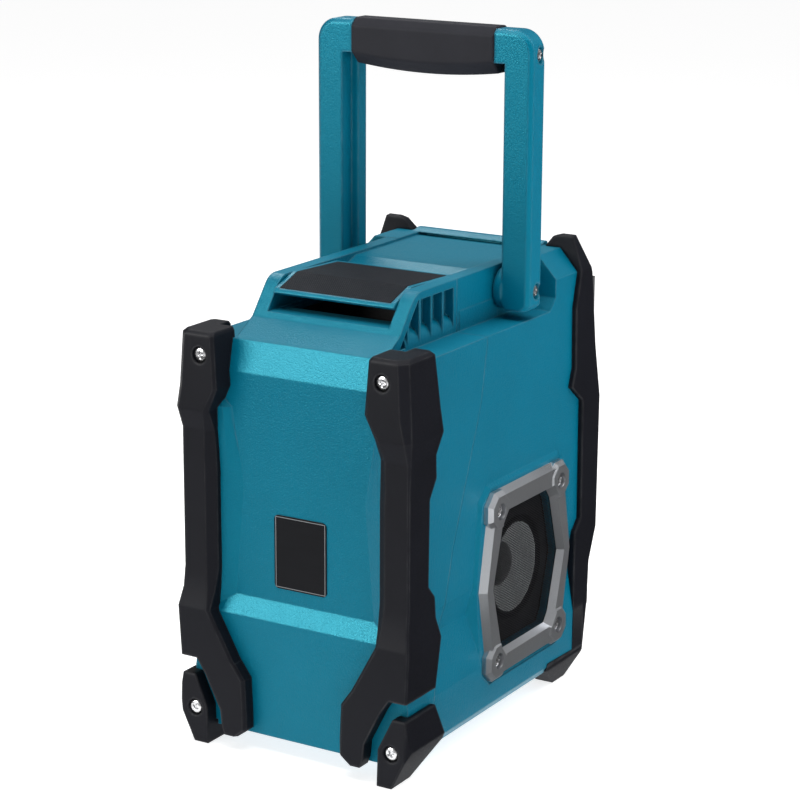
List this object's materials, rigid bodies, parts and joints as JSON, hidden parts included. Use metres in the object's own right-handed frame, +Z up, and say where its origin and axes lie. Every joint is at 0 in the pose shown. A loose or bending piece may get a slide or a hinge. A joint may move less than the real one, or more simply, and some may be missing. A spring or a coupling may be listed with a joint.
{
  "type": "jobsite radio",
  "caption": "Portable jobsite radio: teal casing with black corner bumpers and feet, framed side speakers, folding handle, hinged top lid over a battery bay and a control front.",
  "frame": {"origin": "on the ground, under the middle of the radio", "axes": "+Z up, -Y the front with the display, +Y the back with the rating plate, +X the radio's right side"},
  "size_m": [0.165, 0.282, 0.4305],
  "materials": {
    "shell_teal": "fine moulded grain",
    "handle_teal": "fine moulded grain",
    "cover_charcoal": "moulded grain",
    "bumper_black": "soft matt elastomer over plastic",
    "grip_rubber": "soft matt",
    "mat_rubber": "fine ribbed",
    "screw_steel": "zinc plated",
    "pin_steel": "turned",
    "bezel_silver": "silver paint, satin",
    "grille_metal": "perforated, matt black paint",
    "cone_paper": "pressed cone",
    "surround_rubber": "matt",
    "basket_plastic": "glass filled",
    "magnet_iron": "black ferrite",
    "plate_grey": "printed plate, left blank",
    "window_clear": "polished",
    "display_green": "reflective display",
    "board_green": "solder mask",
    "key_rubber": "matt",
    "dial_black": "satin",
    "door_rubber": "matt",
    "socket_black": "moulded",
    "aerial_black": "sleeved rod"
  },
  "bodies": {
    "casing": {"amplifier_board": "board_green", "battery_box": "socket_black", "bezel_screws": "screw_steel", "bumper_screws": "screw_steel", "button_pad": "key_rubber", "dial_encoder": "pin_steel", "display_module": "display_green", "display_window": "window_clear", "door_hinge_pin": "pin_steel", "foot_screws": "screw_steel", "front_bumper_left": "bumper_black", "front_bumper_right": "bumper_black", "front_cover": "cover_charcoal", "internal_aerial": "aerial_black", "lid_hinge_pin": "pin_steel", "main_board": "board_green", "main_shell": "shell_teal", "rating_plate": "plate_grey", "rear_bumper_left": "bumper_black", "rear_bumper_right": "bumper_black", "rear_foot_left": "bumper_black", "rear_foot_right": "bumper_black", "rear_shell": "shell_teal", "socket_tray": "socket_black", "sockets": "socket_black", "speaker_basket_left": "basket_plastic", "speaker_basket_right": "basket_plastic", "speaker_bezel_left": "bezel_silver", "speaker_bezel_right": "bezel_silver", "speaker_gasket_left": "surround_rubber", "speaker_gasket_right": "surround_rubber", "speaker_grille_left": "grille_metal", "speaker_grille_right": "grille_metal", "speaker_magnet_left": "magnet_iron", "speaker_magnet_right": "magnet_iron", "speaker_surround_left": "surround_rubber", "speaker_surround_right": "surround_rubber", "terminal_block": "socket_black"},
    "handle": {"handle_arm_left": "handle_teal", "handle_arm_right": "handle_teal", "handle_core": "pin_steel", "handle_grip": "grip_rubber", "handle_screws": "screw_steel", "pivot_pins": "pin_steel", "pivot_screws": "screw_steel"},
    "lid": {"top_lid": "shell_teal", "lid_mat": "mat_rubber"},
    "dial": {"control_dial": "dial_black", "dial_shaft": "pin_steel"},
    "door": {"socket_door": "door_rubber"},
    "cone_left": {"speaker_cone_left": "cone_paper", "dust_cap_left": "cone_paper"},
    "cone_right": {"speaker_cone_right": "cone_paper", "dust_cap_right": "cone_paper"},
    "power_key": {"power_button": "key_rubber"},
    "source_key": {"source_button": "key_rubber"},
    "preset_1_key": {"preset_1_button": "key_rubber"},
    "preset_2_key": {"preset_2_button": "key_rubber"},
    "preset_3_key": {"preset_3_button": "key_rubber"},
    "preset_4_key": {"preset_4_button": "key_rubber"}
  },
  "joints": [
    {"name": "handle_fold", "type": "hinge", "parent": "casing", "child": "handle", "pos_m": [0, -0.0195, 0.2702], "axis": [-1, 0, 0], "range_deg": [0, 88]},
    {"name": "lid_hinge", "type": "hinge", "parent": "casing", "child": "lid", "pos_m": [0, 0.0215, 0.28], "axis": [1, 0, 0], "range_deg": [0, 100]},
    {"name": "dial_turn", "type": "hinge", "parent": "casing", "child": "dial", "pos_m": [0, -0.1365, 0.142], "axis": [0, -1, 0], "continuous": true},
    {"name": "door_hinge", "type": "hinge", "parent": "casing", "child": "door", "pos_m": [0, -0.135, 0.04], "axis": [1, 0, 0], "range_deg": [0, 105]},
    {"name": "cone_left_travel", "type": "slide", "parent": "casing", "child": "cone_left", "axis": [-1, 0, 0], "range_m": [-0.001, 0.001], "stiffness_N_per_m": 1000},
    {"name": "cone_right_travel", "type": "slide", "parent": "casing", "child": "cone_right", "axis": [1, 0, 0], "range_m": [-0.001, 0.001], "stiffness_N_per_m": 1000},
    {"name": "power_press", "type": "slide", "parent": "casing", "child": "power_key", "axis": [0, 1, 0], "range_m": [0, 0.001], "stiffness_N_per_m": 400},
    {"name": "source_press", "type": "slide", "parent": "casing", "child": "source_key", "axis": [0, 1, 0], "range_m": [0, 0.001], "stiffness_N_per_m": 400},
    {"name": "preset_1_press", "type": "slide", "parent": "casing", "child": "preset_1_key", "axis": [0, 1, 0], "range_m": [0, 0.001], "stiffness_N_per_m": 400},
    {"name": "preset_2_press", "type": "slide", "parent": "casing", "child": "preset_2_key", "axis": [0, 1, 0], "range_m": [0, 0.001], "stiffness_N_per_m": 400},
    {"name": "preset_3_press", "type": "slide", "parent": "casing", "child": "preset_3_key", "axis": [0, 1, 0], "range_m": [0, 0.001], "stiffness_N_per_m": 400},
    {"name": "preset_4_press", "type": "slide", "parent": "casing", "child": "preset_4_key", "axis": [0, 1, 0], "range_m": [0, 0.001], "stiffness_N_per_m": 400}
  ]
}
